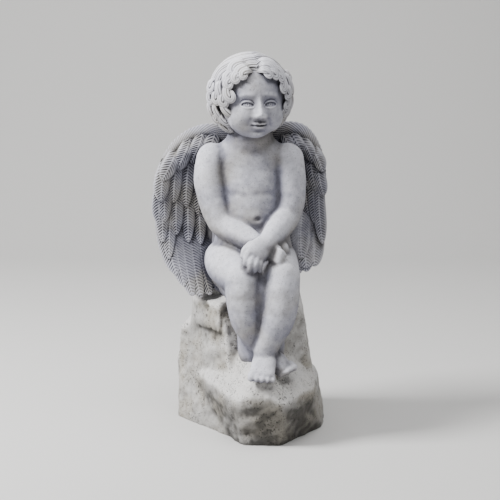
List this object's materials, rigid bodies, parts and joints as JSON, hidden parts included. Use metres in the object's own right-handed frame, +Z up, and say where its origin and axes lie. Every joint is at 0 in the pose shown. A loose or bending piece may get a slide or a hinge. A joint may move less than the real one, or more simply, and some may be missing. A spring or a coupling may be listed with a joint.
{
  "type": "garden statue",
  "caption": "Cast-stone garden statue of a winged cherub sitting on a rock with wrists crossed in its lap and ankles crossed, cast in one piece with its rock base.",
  "frame": {"origin": "centre of the rock's flat underside, on the ground", "axes": "+Z up, the figure faces -Y, +X to the figure's left"},
  "size_m": [0.2927, 0.2933, 0.6109],
  "materials": {
    "cast_stone": "weathered matt cast stone"
  },
  "bodies": {
    "root": {"cherub_statue": "cast_stone"}
  },
  "joints": []
}
